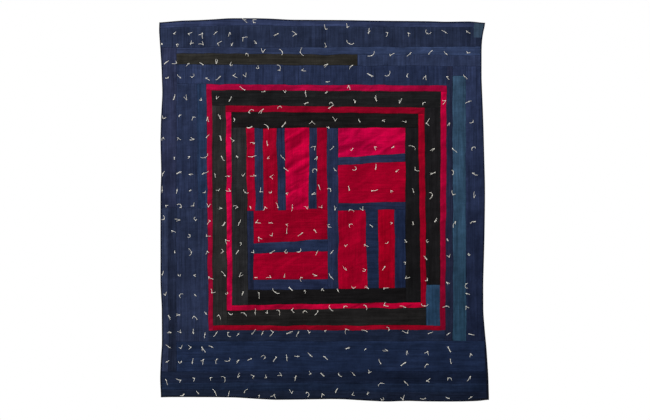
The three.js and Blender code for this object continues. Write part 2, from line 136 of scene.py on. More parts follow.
# ---- ties: rows of (x at its first tie, x at its last, z there and there, how many), in mm ----
TIE_ROWS = [
    (-802, -494, -17, -17, 5), (-424, -370, 50, 20, 2), (-424, -359, -39, -78, 2),
    (-240, -149, -20, -18, 2), (13, 138, 4, 15, 2), (251, 775, -22, -6, 6),
    (-862, -494, -76, -82, 6), (13, 148, -82, -78, 2), (-408, -127, -126, -118, 4),
    (262, 780, -140, -130, 6), (-861, -494, -180, -184, 6), (-343, -111, -212, -224, 3),
    (24, 165, -190, -190, 2), (246, 775, -240, -252, 6), (-850, -413, -262, -250, 7),
    (30, 148, -282, -298, 2), (-418, 24, -320, -345, 5), (-807, -499, -370, -380, 5),
    (-73, 786, -388, -390, 8), (-397, -230, -444, -420, 3), (-856, -472, -474, -478, 6),
    (-51, 813, -492, -503, 8), (-386, -213, -524, -524, 3), (35, 35, -428, -428, 1),
    (35, 35, -530, -530, 1), (-856, -472, -586, -592, 6), (-375, -289, -617, -628, 2),
    (-46, 813, -632, -638, 9), (-797, -213, -690, -685, 8), (-30, -30, -692, -692, 1),
    (-861, -289, -775, -795, 9), (-208, -208, -745, -745, 1), (-35, 818, -756, -768, 9),
    (-861, -197, -870, -880, 10), (-51, -24, -887, -832, 2), (40, 823, -858, -900, 8),
    (-845, 224, -955, -968, 15), (-850, -202, -1018, -1048, 9), (30, 834, -1062, -1030, 8),
    (-807, -435, -1088, -1150, 5), (-343, -40, -1120, -1088, 5), (127, 683, -1165, -1135, 6),
    (-791, 46, -1196, -1205, 11), (451, 791, -1258, -1220, 4), (127, 343, -1300, -1276, 3),
    (-861, 46, -1328, -1335, 12), (451, 780, -1345, -1366, 4), (-856, 338, -1430, -1396, 15),
    (775, 775, -1416, -1416, 1), (116, 780, -1495, -1490, 7), (-834, 40, -1548, -1510, 14),
    (-829, -73, -1640, -1636, 13), (19, 796, -1620, -1640, 8), (-829, -591, -1722, -1708, 5),
    (121, 796, -1720, -1745, 7), (-834, 3, -1796, -1762, 14), (321, 694, -1800, -1800, 4),
    (-845, 246, -1886, -1856, 15), (316, 802, -1904, -1880, 5), (-748, 240, -1966, -1960, 13),
    (321, 796, -1984, -1972, 5),
]
TIE_JITTER = 7 * MM
YARN = .63 * MM                           # radius of one of its two plies
TWIST = 9 * MM                            # length of a full turn of the plies
TAIL = (8 * MM, 28 * MM)                  # shortest and longest tail
TAIL_FROM_EDGE = 7 * MM
STITCH = 3.6 * MM                         # half of a stitch on the back

# ---- cloths: first and last colour, the way from one to the other, grain, kind; the change from the first colour to the last is painted light falloff on top of the cloth's own tone ----
CREASE_LEAN = .5                          # radians above level
COTTON, SATEEN, SATIN, WOOL, MUSLIN = "cotton", "sateen", "satin", "wool", "muslin"
CLOTHS = {
    "border_top_strip": (0x2F3856, 0x2D3653, "x", "x", COTTON),
    "border_top_dark": (0x262E45, 0x242C42, "x", "z", COTTON),
    "border_top_light_band": (0x2B334D, 0x313E5D, "x", "x", COTTON),
    "border_top_slate_band": (0x2C3651, 0x2C3550, "x", "z", COTTON),
    "border_brown_strip": (0x2D2C29, 0x2A2824, "x", "x", WOOL),
    "border_top_lower": (0x28314C, 0x242D47, "x", "z", COTTON),
    "border_left_outer_upper": (0x2B3049, 0x272C44, "z", "z", COTTON),
    "border_left_outer_pale": (0x2C344C, 0x2A3149, "z", "z", COTTON),
    "border_left_outer_dark": (0x21283D, 0x1C2233, "z", "z", COTTON),
    "border_left_inner_upper": (0x28314B, 0x272F49, "z", "z", COTTON),
    "border_left_inner_bright": (0x25344F, 0x24324E, "z", "z", COTTON),
    "border_left_inner_lower": (0x272F47, 0x262E46, "z", "z", COTTON),
    "border_right_inner": (0x22263B, 0x1E2235, "z", "z", COTTON),
    "border_right_slate_head": (0x28314C, 0x28314C, "z", "z", COTTON),
    "border_right_slate": (0x344C63, 0x243D51, "z", "z", COTTON),
    "border_right_outer": (0x29324E, 0x1A2137, "z", "z", COTTON),
    "border_bottom_first": (0x1D2539, 0x1B2337, "x", "x", COTTON),
    "border_bottom_upper": (0x1D2841, 0x1B263F, "x", "x", COTTON),
    "border_bottom_dark": (0x1A2236, 0x131B2E, "x", "x", COTTON),
    "border_bottom_pale": (0x1A2439, 0x182237, "x", "x", COTTON),
    "border_bottom_hem": (0x1C2334, 0x151C2D, "x", "x", COTTON),
    "border_corner_mend": (0x364758, 0x34455A, "z", "z", COTTON),
    "outer_red_top": (0x9B0836, 0x970734, "x", "x", SATEEN),
    "outer_red_left": (0x94072D, 0x880A2B, "z", "z", SATEEN),
    "outer_red_right": (0xAB0335, 0x710722, "z", "z", SATEEN),
    "outer_red_bottom": (0x84041D, 0x80041B, "x", "x", SATEEN),
    "outer_black_top": (0x1D1D1E, 0x1C1C1D, "x", "x", WOOL),
    "outer_black_left": (0x292828, 0x272626, "z", "z", WOOL),
    "outer_black_right": (0x1C1B1D, 0x171617, "z", "z", WOOL),
    "outer_black_bottom": (0x1E1D1D, 0x1D1C1C, "x", "x", WOOL),
    "slate_patch": (0x263E57, 0x243C55, "z", "z", COTTON),
    "inner_red_top": (0x870522, 0x850521, "x", "x", SATEEN),
    "inner_red_left": (0xB20439, 0xAE0437, "z", "z", SATIN),
    "inner_red_right": (0x8F0420, 0x87021C, "z", "z", SATEEN),
    "inner_red_bottom": (0x9F052E, 0xAB012D, "x", "x", SATIN),
    "inner_black_top": (0x1A1819, 0x191818, "x", "x", WOOL),
    "inner_black_left": (0x28282A, 0x262628, "z", "z", WOOL),
    "inner_black_right": (0x1B1A1C, 0x151516, "z", "z", WOOL),
    "inner_black_bottom": (0x161516, 0x151415, "x", "x", WOOL),
    "centre_stripe_red_1": (0x950425, 0x930424, "z", "z", SATEEN),
    "centre_stripe_blue_1": (0x282F4B, 0x272E49, "z", "z", COTTON),
    "centre_stripe_red_2": (0x900423, 0x8E0422, "z", "z", SATEEN),
    "centre_stripe_blue_2": (0x252E49, 0x242D47, "z", "z", COTTON),
    "centre_stripe_crimson": (0xAD0131, 0xAF0235, "z", "z", SATIN),
    "centre_stripe_blue_3": (0x252D47, 0x242C46, "z", "z", COTTON),
    "centre_stripe_red_3": (0x8B0222, 0x890221, "z", "z", SATEEN),
    "centre_left_edge_blue": (0x212640, 0x1F2438, "z", "z", COTTON),
    "centre_left_red_upper": (0x890220, 0x85011D, "x", "x", SATEEN),
    "centre_left_bar_upper": (0x232D48, 0x212B46, "x", "x", COTTON),
    "centre_left_red_lower": (0x940123, 0x920122, "x", "x", SATEEN),
    "centre_left_bar_lower": (0x232B46, 0x212944, "x", "x", COTTON),
    "centre_sash": (0x242C46, 0x222A44, "z", "z", COTTON),
    "centre_right_crimson": (0xB3023C, 0xAD0235, "x", "x", SATIN),
    "centre_right_bar_upper": (0x262D47, 0x242B45, "x", "x", COTTON),
    "centre_right_red": (0x970125, 0x930121, "x", "x", SATEEN),
    "centre_right_bar_lower": (0x1F263C, 0x1F2740, "x", "x", COTTON),
    "centre_foot_red_1": (0x960123, 0x940121, "z", "z", SATEEN),
    "centre_foot_blue_1": (0x1C263E, 0x1A243C, "z", "x", COTTON),
    "centre_foot_red_2": (0x96011E, 0x94011C, "z", "z", SATEEN),
    "centre_foot_blue_2": (0x1D2741, 0x1B253F, "z", "z", COTTON),
}


# ---------------------------------------- flat layout
def lerp(a, b, t):
    return a + (b - a) * t


def meet(a, b, c, d):
    """Where the line a-b meets the line c-d."""
    ab, cd, ac = b - a, d - c, c - a
    t = (ac[0] * cd[1] - ac[1] * cd[0]) / (ab[0] * cd[1] - ab[1] * cd[0])
    return lerp(a, b, t)


def inset(points, by):
    """An outline, drawn clockwise, with every side moved inwards."""
    sides = []
    for p, q in zip(points, points[1:] + points[:1]):
        along = (q - p) / np.linalg.norm(q - p)
        inwards = np.array([along[1], -along[0]]) * by
        sides.append((p + inwards, q + inwards))
    return [meet(*sides[i - 1], *sides[i]) for i in range(len(sides))]


def layout_points(node):
    """The (x, z) corners of a flat CAD piece, each once."""
    seen = {(round(v.co.x, 6), round(v.co.z, 6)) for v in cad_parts[node].data.vertices}
    return [np.array(p) for p in sorted(seen)]


def quad_of(points):
    """Top left, top right, bottom right and bottom left of the points."""
    signs = [(-1, 1), (1, 1), (1, -1), (-1, -1)]
    return [max(points, key=lambda p: p[0] * sx + p[1] * sz) for sx, sz in signs]


def on_quad(quad, u, v):
    """Places on a quad at shares across and down."""
    tl, tr, br, bl = quad
    u, v = np.asarray(u)[:, None], np.asarray(v)[:, None]
    flat = lerp(lerp(tl, tr, u), lerp(bl, br, u), v)
    return flat[:, 0], flat[:, 1]


def columns(quad, *at):
    """A quad cut into columns at the given shares of its width."""
    tl, tr, br, bl = quad
    ends = [0, *at, 1]
    return [[lerp(tl, tr, a), lerp(tl, tr, b), lerp(bl, br, b), lerp(bl, br, a)]
            for a, b in zip(ends, ends[1:])]


def rows(quad, *at):
    """A quad cut into rows at the given shares of its height."""
    tl, tr, br, bl = quad
    ends = [0, *at, 1]
    return [[lerp(tl, bl, a), lerp(tr, br, a), lerp(tr, br, b), lerp(tl, bl, b)]
            for a, b in zip(ends, ends[1:])]


def top_light_bands():
    """The L of the light band over the whole width and the slate band below its right half."""
    points = layout_points("border_top_light")
    (left_low, left_high), (mid_low, mid_high), (right_low, right_high) = (
        sorted(points[i:i + 2], key=lambda p: p[1]) for i in (0, 2, 4))
    seam_end = meet(left_low, mid_high, right_high, right_low)
    return ([left_high, right_high, seam_end, left_low],
            [mid_high, seam_end, right_low, mid_low])


def bottom_upper_bands():
    """The first band under the frame, and the longer band under that."""
    points = sorted(layout_points("border_bottom_upper"), key=lambda p: -p[1])
    seam = sorted(points[2:6], key=lambda p: p[0])
    upper, lower = (sorted(pair, key=lambda p: p[0]) for pair in (points[:2], points[6:]))
    return ([upper[0], upper[1], seam[2], seam[1]], [seam[0], seam[3], lower[1], lower[0]])


def all_patches():
    """{patch: (the CAD node that it is part of, its quad in the layout)}"""
    found = {n: (n, quad_of(layout_points(n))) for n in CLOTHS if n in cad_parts}

    def divide(node, names, quads):
        found.pop(node, None)
        found.update({name: (node, quad) for name, quad in zip(names, quads)})

    divide("border_top_light", ["border_top_light_band", "border_top_slate_band"], top_light_bands())
    divide("border_bottom_upper", ["border_bottom_first", "border_bottom_upper"], bottom_upper_bands())
    upper, lower = rows(quad_of(layout_points("border_left_outer")), .495)
    divide("border_left_outer",
           ["border_left_outer_upper", "border_left_outer_pale", "border_left_outer_dark"],
           [upper, *columns(lower, .47)])
    upper, lower = rows(quad_of(layout_points("border_left_inner")), .482)
    divide("border_left_inner",
           ["border_left_inner_upper", "border_left_inner_bright", "border_left_inner_lower"],
           [*columns(upper, .69), lower])
    divide("border_right_slate", ["border_right_slate_head", "border_right_slate"],
           rows(quad_of(layout_points("border_right_slate")), .036))
    divide("border_bottom_lower", ["border_bottom_dark", "border_bottom_pale", "border_bottom_hem"],
           rows(quad_of(layout_points("border_bottom_lower")), .43, .71))
    return found


OUTLINE = quad_of(layout_points("backing"))
TL, TR, BR, BL = OUTLINE
BACK_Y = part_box("backing")[1].y
TOP_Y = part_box("outer_red_top")[0].y          # front of the pieced top
ROD_LOW, ROD_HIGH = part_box("rod")
SLEEVE_LOW, SLEEVE_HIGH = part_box("hanging_sleeve")


def shares(x, z):
    """How far across and how far down the quilt a place is, from 0 to 1."""
    down = (TL[1] - z) / (TL[1] - lerp(BL[1], BR[1], (x - BL[0]) / (BR[0] - BL[0])))
    left, right = lerp(TL[0], BL[0], down), lerp(TR[0], BR[0], down)
    return (x - left) / (right - left), down


def from_edge(x, z):
    """Distance to the quilt's nearest edge, 0 outside it."""
    across, down = shares(x, z)
    width, height = TR[0] - TL[0], TL[1] - BL[1]
    nearest = np.minimum(np.minimum(across, 1 - across) * width, np.minimum(down, 1 - down) * height)
    return np.maximum(nearest, 0)


# ---------------------------------------- the shared surface
def smooth(t):
    t = np.clip(t, 0, 1)
    return t * t * (3 - 2 * t)


def fading(distance, size, reach):
    return size * np.exp(-distance / reach)


def hump(distance, size, reach):
    return size * np.exp(-(distance / reach)**2)


def cubic(t):
    """The four weights of a smooth curve through evenly spaced values."""
    return ((-t + 2 * t**2 - t**3) / 2, (2 - 5 * t**2 + 3 * t**3) / 2,
            (t + 4 * t**2 - 3 * t**3) / 2, (t**3 - t**2) / 2)


def wave_curve(points):
    """The list's offset at any share, in metres, with its corners rounded off."""
    fine = np.linspace(0, 1, 201)
    values = np.interp(fine, *np.array(points, float).T)
    kernel = np.hanning(11)
    padded = np.pad(values, 5, mode="edge")
    rounded = np.convolve(padded, kernel / kernel.sum(), mode="valid") * MM
    return lambda share: np.interp(share, fine, rounded)


LEFT, RIGHT, TOP, BOTTOM = map(wave_curve, (LEFT_WAVE, RIGHT_WAVE, TOP_WAVE, BOTTOM_WAVE))


def ripples(x, z, length, seed, waves=6):
    """An uneven wave between about -1 and 1, with crests `length` apart."""
    rng = random.Random(seed)
    total = 0
    for _ in range(waves):
        angle, turn = rng.uniform(0, math.pi), rng.uniform(0, math.tau)
        k = math.tau / (length * rng.uniform(.75, 1.4))
        total = total + np.sin(k * (math.cos(angle) * x + math.sin(angle) * z) + turn)
    return total / math.sqrt(waves)


def drift(x, z):
    """How far a place in the layout is moved sideways and up."""
    across, down = shares(x, z)
    width, height = TR[0] - TL[0], TL[1] - BL[1]

    def near(share, length):
        return smooth(1 - share * length / WAVE_REACH)

    dx = LEFT(down) * near(across, width) + RIGHT(down) * near(1 - across, width)
    dz = TOP(across) * near(down, height) + BOTTOM(across) * near(1 - down, height)
    inside = smooth(from_edge(x, z) / WAVE_REACH)
    dx = dx + WANDER * inside * ripples(x, z, .17, 1)
    dz = dz + WANDER * inside * ripples(x, z, .17, 2)
    return dx, dz


def hang(x, z):
    """The slow folds of the hanging quilt, which grow from the rod downwards."""
    down = np.clip((SLEEVE_LOW.z - z) / 1.9, 0, 1)
    grow = smooth(down * 1.6)
    folds = sum(deep * np.sin(math.tau * x / apart + start + lean * down)
                for deep, apart, start, lean in UPRIGHT_FOLDS)
    folds = folds + LEVEL_FOLDS[0] * np.sin(math.tau * z / LEVEL_FOLDS[1] + 2.1 * x)
    return grow * (folds - HANG_BACK)


def tie_places():
    rng = random.Random(7)
    places = []
    for x0, x1, z0, z1, count in TIE_ROWS:
        for i in range(count):
            t = i / max(count - 1, 1)
            x = lerp(x0, x1, t) * MM + rng.uniform(-1, 1) * TIE_JITTER * (count > 1)
            z = lerp(z0, z1, t) * MM + rng.uniform(-1, 1) * TIE_JITTER
            places.append((x, z))
    return np.array(places)


TIES = tie_places()


def inside_edge(x, z, by):
    """Places moved, where they must be, to lie at least `by` inside the quilt's edge."""
    across, down = shares(x, z)
    spare_x, spare_z = by / (TR[0] - TL[0]), by / (TL[1] - BL[1])
    down = np.clip(down, spare_z, 1 - spare_z)
    across = np.clip(across, spare_x, 1 - spare_x)
    top = lerp(TL[0], TR[0], across), TL[1] + 0 * across
    foot = lerp(BL[0], BR[0], across), lerp(BL[1], BR[1], across)
    return lerp(top[0], foot[0], down), lerp(top[1], foot[1], down)


def nearest_tie(x, z):
    """Each place's nearest tie, its distance and its bearing."""
    dx, dz = x[:, None] - TIES[:, 0], z[:, None] - TIES[:, 1]
    apart = np.hypot(dx, dz)
    k = apart.argmin(1)
    i = np.arange(len(x))
    return k, apart[i, k], np.arctan2(dz[i, k], dx[i, k])


# ---- the simulated top: cloth held at its ties and pushed out by the batting ----
SIM_LEFT, SIM_TOP = min(TL[0], BL[0]) - 3 * SIM_STEP, TL[1] + 3 * SIM_STEP
SIM_COLUMNS = int((max(TR[0], BR[0]) - SIM_LEFT) / SIM_STEP) + 4
SIM_ROWS = int((SIM_TOP - min(BL[1], BR[1])) / SIM_STEP) + 4


def grid_faces(n_rows, n_columns, start=0):
    """Quads of a grid whose rows run downwards, with their faces to the front."""
    base = (np.arange(n_rows - 1)[:, None] * n_columns + np.arange(n_columns - 1)).ravel() + start
    return np.stack([base, base + n_columns, base + n_columns + 1, base + 1], 1)


def mesh_object(name, points, faces):
    mesh = bpy.data.meshes.new(name)
    mesh.from_pydata(np.asarray(points).tolist(), [], [list(map(int, f)) for f in faces])
    mesh.update()
    mesh.polygons.foreach_set("use_smooth", [True] * len(mesh.polygons))
    piece = bpy.data.objects.new(name, mesh)
    bpy.context.scene.collection.objects.link(piece)
    return piece


def thicken(piece, thickness, offset):
    modifier = piece.modifiers.new("thickness", "SOLIDIFY")
    modifier.thickness, modifier.offset = thickness, offset


def simulation_grid():
    x = SIM_LEFT + SIM_STEP * np.arange(SIM_COLUMNS)
    z = SIM_TOP - SIM_STEP * np.arange(SIM_ROWS)
    return [g.ravel() for g in np.meshgrid(x, z)]


def simulate_top():
    """Forward depth and sideways shift of the puffed top on the simulation's grid."""
    gx, gz = simulation_grid()
    held = from_edge(gx, gz) < 1.2 * SIM_STEP
    start = np.stack([gx, .3 * MM * ripples(gx, gz, .05, 3), gz], 1)
    start[held, 1] = 0
    for tx, tz in TIES:
        k = np.hypot(gx - tx, gz - tz).argmin()
        held[k] = True
        start[k, 1] = TIE_DIMPLE
    cloth = mesh_object("top_simulation", start, grid_faces(SIM_ROWS, SIM_COLUMNS))
    cloth.vertex_groups.new(name="held").add(np.flatnonzero(held).tolist(), 1, "REPLACE")
    modifier = cloth.modifiers.new("Cloth", "CLOTH")
    settings = modifier.settings
    settings.quality = 6
    settings.mass = .2
    settings.vertex_group_mass = "held"
    settings.tension_stiffness = settings.compression_stiffness = 12
    settings.shear_stiffness = 8
    settings.bending_stiffness = .25
    settings.tension_damping = settings.compression_damping = settings.shear_damping = 12
    settings.air_damping = 3
    settings.shrink_min = settings.shrink_max = -SPARE_CLOTH
    modifier.collision_settings.use_collision = False
    scene = bpy.context.scene
    gravity = tuple(scene.gravity)
    scene.gravity = PUSH
    modifier.point_cache.frame_end = SIM_FRAMES
    for number in range(1, SIM_FRAMES + 1):
        scene.frame_set(number)
    shown = cloth.evaluated_get(bpy.context.evaluated_depsgraph_get())
    end = np.zeros(len(start) * 3)
    shown.data.vertices.foreach_get("co", end)
    end = end.reshape(-1, 3)
    bpy.data.objects.remove(cloth)
    scene.frame_set(1)
    scene.gravity = gravity
    shape = (SIM_ROWS, SIM_COLUMNS)
    forward = -end[:, 1].reshape(shape)
    return forward, (end[:, 0] - gx).reshape(shape), (end[:, 2] - gz).reshape(shape)


PUFF, PUFF_X, PUFF_Z = simulate_top()


def sample(field, x, z):
    """A field of the simulation's grid, at any places."""
    gx = np.clip((x - SIM_LEFT) / SIM_STEP, 1, SIM_COLUMNS - 2.001)
    gz = np.clip((SIM_TOP - z) / SIM_STEP, 1, SIM_ROWS - 2.001)
    i, j = gx.astype(int), gz.astype(int)
    across, down = cubic(gx - i), cubic(gz - j)
    return sum(down[b] * across[a] * field[j - 1 + b, i - 1 + a] for a in range(4) for b in range(4))


def top_depth(x, z):
    """How far the top stands forward, seams apart."""
    k, apart, bearing = nearest_tie(x, z)
    pleats = np.cos((5 + k % 4) * bearing + k) * fading(apart, *PLEAT) * apart / (apart + 8 * MM)
    puff = LOFT * np.tanh(sample(PUFF, x, z) / (2 * LOFT))
    puff = puff + pleats - hump(apart, *KNOT_DIMPLE)
    crumple = CRUMPLE[0] * ripples(x, z, .05, 5) + CRUMPLE[1] * ripples(x, z, .021, 6)
    depth = hang(x, z) + puff + crumple - fading(from_edge(x, z), *EDGE_TAPER)
    room = (FORWARD_LIMIT - depth) / SOFT_STOP
    return FORWARD_LIMIT - SOFT_STOP * np.logaddexp(0, room)


def place(x, z):
    """Where a place in the layout hangs, sideways and upwards."""
    dx, dz = drift(x, z)
    calm = smooth(from_edge(x, z) / .05)
    return x + dx + calm * sample(PUFF_X, x, z), z + dz + calm * sample(PUFF_Z, x, z)


def back_depth(x, z):
    """How far the backing stands forward: it is flat where the sleeve is sewn on, puffed below."""
    _, apart, _ = nearest_tie(x, z)
    loose = smooth((SLEEVE_LOW.z - .01 - z) / .06)
    puff = BACK_LOFT * (1 - hump(apart, 1, .035)) + .3 * MM * ripples(x, z, .05, 9)
    dimple = hump(apart, *BACK_DIMPLE)
    return hang(x, z) - loose * puff + dimple + fading(from_edge(x, z), *EDGE_TAPER)


def at_depth(x, z, y):
    px, pz = place(x, z)
    return np.stack([px, y, pz], 1)


def top_points(x, z, forward=0):
    """The top's front, never so low that there is no room left for the backing behind it."""
    y = TOP_Y - top_depth(x, z) - forward
    return at_depth(x, z, np.minimum(y, BACK_Y - back_depth(x, z) - THINNEST))


def back_points(x, z, inwards=0):
    return at_depth(x, z, BACK_Y - back_depth(x, z) - inwards)


# ---------------------------------------- materials
def rgb(code):
    """A linear colour from a screen colour."""
    channels = [(code >> shift & 255) / 255 for shift in (16, 8, 0)]
    return (*[c / 12.92 if c <= .04045 else ((c + .055) / 1.055)**2.4 for c in channels], 1)


class Nodes:
    """Short words for the nodes of one material."""

    def __init__(self, name):
        self.material = bpy.data.materials.new(name)
        self.material.use_nodes = True
        self.tree = self.material.node_tree
        self.shader = self.tree.nodes["Principled BSDF"]

    def node(self, kind, inputs=(), **options):
        made = self.tree.nodes.new("ShaderNode" + kind)
        for key, value in options.items():
            setattr(made, key, value)
        for key, value in dict(inputs).items():
            self.set(made.inputs[key], value)
        return made

    def set(self, socket, value):
        if isinstance(value, bpy.types.NodeSocket):
            self.tree.links.new(value, socket)
        else:
            socket.default_value = value

    def place(self, scale=(1, 1, 1)):
        """Places on the object, in metres times the scale."""
        return self.mapped(self.node("TexCoord").outputs["Object"], Scale=scale)

    def mapped(self, at, **change):
        return self.node("Mapping", {"Vector": at, **change}).outputs[0]

    def noise(self, at, scale, detail=3, roughness=.5, distortion=0):
        return self.node("TexNoise", {"Vector": at, "Scale": scale, "Detail": detail,
                                      "Roughness": roughness, "Distortion": distortion}).outputs["Fac"]

    def ranged(self, value, low, high, to_low=0, to_high=1):
        return self.node("MapRange", {"Value": value, "From Min": low, "From Max": high,
                                      "To Min": to_low, "To Max": to_high}).outputs[0]

    def math(self, operation, a, b):
        return self.node("Math", {0: a, 1: b}, operation=operation).outputs[0]

    def mix(self, factor, a, b):
        made = self.node("Mix", data_type="RGBA")
        self.set(made.inputs["Factor"], factor)
        self.set(made.inputs[6], a)
        self.set(made.inputs[7], b)
        return made.outputs[2]

    def scaled(self, color, value):
        """A colour made lighter or darker by a value about 1."""
        scale = self.node("VectorMath", {0: color}, operation="SCALE")
        self.set(scale.inputs["Scale"], value)
        return scale.outputs[0]

    def bump(self, heights):
        """Several bumps on each other: (height, strength, distance in mm)."""
        normal = None
        for height, strength, distance in heights:
            inputs = {"Height": height, "Strength": strength, "Distance": distance * MM}
            if normal is not None:
                inputs["Normal"] = normal
            normal = self.node("Bump", inputs).outputs[0]
        self.set(self.shader.inputs["Normal"], normal)

    def finish(self, **sockets):
        for key, value in sockets.items():
            self.set(self.shader.inputs[key.replace("_", " ")], value)
        return self.material


def cloth_material(name, first, last, painted_falloff_axis, grain, kind, quad):
    """Woven cloth: its colour runs from the first to the last, a painted falloff of light on top of the
    cloth's own tone, with threads along its grain.
    """
    n = Nodes(name)
    seed = sum(map(ord, name)) % 97 * .37
    turn = (0, math.pi / 2, 0) if grain == "x" else (0, 0, 0)
    here = n.place()
    shifted = n.node("VectorMath", {0: here, 1: (seed, seed * .7, seed * 1.3)}).outputs[0]
    along = n.mapped(shifted, Rotation=turn)

    # the colour runs from first to last across the patch: painted light falloff on top of the cloth's own
    # tone
    xyz = n.node("SeparateXYZ", {0: here})
    axis = 0 if painted_falloff_axis == "x" else 1
    low, high = (min(p[axis] for p in quad), max(p[axis] for p in quad))
    ends = (low, high) if painted_falloff_axis == "x" else (high, low)
    color = n.mix(n.ranged(xyz.outputs["X" if painted_falloff_axis == "x" else "Z"], *ends), rgb(first), rgb(last))

    def threads(across, lengthwise, detail):
        return n.noise(n.mapped(along, Scale=(across, 1, lengthwise)), 1, detail, .6)

    depth = {COTTON: 1, SATEEN: .6, SATIN: .45, WOOL: 1, MUSLIN: .3}[kind]
    mottle = n.noise(along, 11, 5, .65)
    bands = threads(48, 2.2, 2)
    slub = threads(150, 5, 4)
    fine = threads(900, 30, 2)
    shade = n.ranged(mottle, .3, .7, 1 - .28 * depth, 1 + .28 * depth)
    weft_slub = threads(14, 420, 3)
    for streaks, contrast in ((bands, .2 * depth), (slub, .4 * depth), (fine, .25), (weft_slub, .15)):
        shade = n.math("MULTIPLY", shade, n.ranged(streaks, .25, .75, 1 - contrast, 1 + contrast))
    color = n.scaled(color, shade)

    pitch = {COTTON: 420, SATEEN: 520, SATIN: 640, WOOL: 300, MUSLIN: 380}[kind]
    warp, weft = (n.node("TexWave", {"Vector": along, "Scale": pitch, "Distortion": 1.2, "Detail": 1},
                         bands_direction=direction).outputs["Fac"] for direction in "XZ")
    weave = n.math("MULTIPLY", warp, weft)
    color = n.scaled(color, n.ranged(weave, 0, 1, .9, 1.22))

    worn = n.node("Attribute", attribute_name="worn").outputs["Fac"]
    patchy = n.math("MULTIPLY", worn, n.ranged(n.noise(shifted, 60, 3), .35, .7))
    color = n.mix(n.math("MULTIPLY", patchy, .3), color, n.scaled(color, 1.9))
    lint = n.ranged(n.noise(shifted, 420, 2), .72, .78)
    color = n.mix(n.math("MULTIPLY", lint, .12), color, rgb(0x9C9A94))

    leaning = n.mapped(shifted, Rotation=(0, CREASE_LEAN, 0))
    crease = n.noise(n.mapped(leaning, Scale=(.4, 1, 1.3)), 15, 3, .5, .9)
    # painted shade and highlight: the colour is darkened and lightened along the crease pattern, most on
    # satin; the same pattern also bumps the surface
    painted_crease_light = {COTTON: .08, SATEEN: .2, SATIN: .42, WOOL: .1, MUSLIN: .04}[kind]
    color = n.scaled(color, n.ranged(crease, .34, .66, 1 - painted_crease_light, 1 + painted_crease_light))
    fold_height = {COTTON: 3.5, SATEEN: 4, SATIN: 10, WOOL: 3, MUSLIN: 2.5}[kind]
    n.bump([(crease, .8, fold_height), (slub, .4, .3), (weave, .6, .25)])
    rough = {COTTON: .84, SATEEN: .6, SATIN: .4, WOOL: .92, MUSLIN: .88}[kind]
    tint = rgb(first)
    tint = (*[c / max(tint[:3]) for c in tint[:3]], 1)
    sheen = {COTTON: .03, SATEEN: .06, SATIN: .1, WOOL: .01, MUSLIN: .05}[kind]
    shine = {COTTON: .06, SATEEN: .3, SATIN: .5, WOOL: .03, MUSLIN: .1}[kind]
    return n.finish(Base_Color=color, Roughness=n.ranged(mottle, .3, .7, rough - .05, rough + .05),
                    Sheen_Weight=sheen, Sheen_Tint=tint, Sheen_Roughness=.45, Specular_Tint=tint,
                    Specular_IOR_Level=shine)


# ---------------------------------------- patches
def spread(length, step):
    """Shares along a side, close together near its ends, where the cloth dives into a seam."""
    near = [d * MM / length for d in (0, .9, 2.2, 4.4) if d * MM < length / 2.2]
    inner = max(2, round(length / step))
    middle = np.linspace(near[-1], 1 - near[-1], inner + 1)
    return np.array([*near[:-1], *middle, *[1 - s for s in reversed(near[:-1])]])


def side_lengths(quad):
    tl, tr, br, bl = quad
    width = (np.linalg.norm(tr - tl) + np.linalg.norm(br - bl)) / 2
    height = (np.linalg.norm(bl - tl) + np.linalg.norm(br - tr)) / 2
    return width, height


def area_of(points):
    x, z = np.array(points).T
    return abs(np.dot(x, np.roll(z, -1)) - np.dot(z, np.roll(x, -1))) / 2


def stand_for(piece, node, material):
    """The piece takes a CAD node's place on the quilt."""
    piece.data.materials.append(material)
    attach(piece, "quilt")
    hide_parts(node)


def patch_cloth(name, node, quad, forward=0):
    """One patch: its edges dive into the seams, and pucker beside them."""
    quad = inset(quad, -SEAM_CLOSED)
    width, height = side_lengths(quad)
    u, v = np.meshgrid(spread(width, PATCH_STEP), spread(height, PATCH_STEP))
    shape = u.shape
    u, v = u.ravel(), v.ravel()
    x, z = on_quad(quad, u, v)
    from_side = np.minimum(u, 1 - u) * width
    from_end = np.minimum(v, 1 - v) * height
    seam = np.minimum(from_side, from_end)
    along = np.where(from_side < from_end, v * height, u * width)
    gather = np.sin(math.tau * along / PUCKER_APART + 2 * ripples(x, z, .06, 11))
    ditch = fading(seam, *DITCH) + fading(seam, *WIDE_DITCH)
    ridge = hump(seam - RIDGE_FROM_SEAM, *RIDGE)
    pucker = gather * fading(seam, *PUCKER) * (1 - fading(seam, 1, 2 * MM))
    points = top_points(x, z, forward - ditch + ridge + pucker)

    piece = mesh_object(name + "_cloth", points, grid_faces(*shape))
    worn = piece.data.attributes.new("worn", "FLOAT", "POINT")
    worn.data.foreach_set("value", hump(seam - WORN, 1, WORN).astype(np.float32))
    thicken(piece, CLOTH, -1)
    stand_for(piece, node, cloth_material(name, *CLOTHS[name], quad))
    area_of(quad)


# ---------------------------------------- backing, batting, sleeve
def rim(n_rows, n_columns):
    """The grid's outer vertices, clockwise from the top left."""
    last = (n_rows - 1) * n_columns
    return [*range(n_columns), *range(2 * n_columns - 1, last, n_columns),
            *range(last + n_columns - 1, last - 1, -1), *range(last - n_columns, 0, -n_columns)]


def bands(rings):
    """Faces between neighbouring closed rings of vertices."""
    return [(a[i - 1], a[i], b[i], b[i - 1]) for a, b in zip(rings, rings[1:]) for i in range(len(a))]


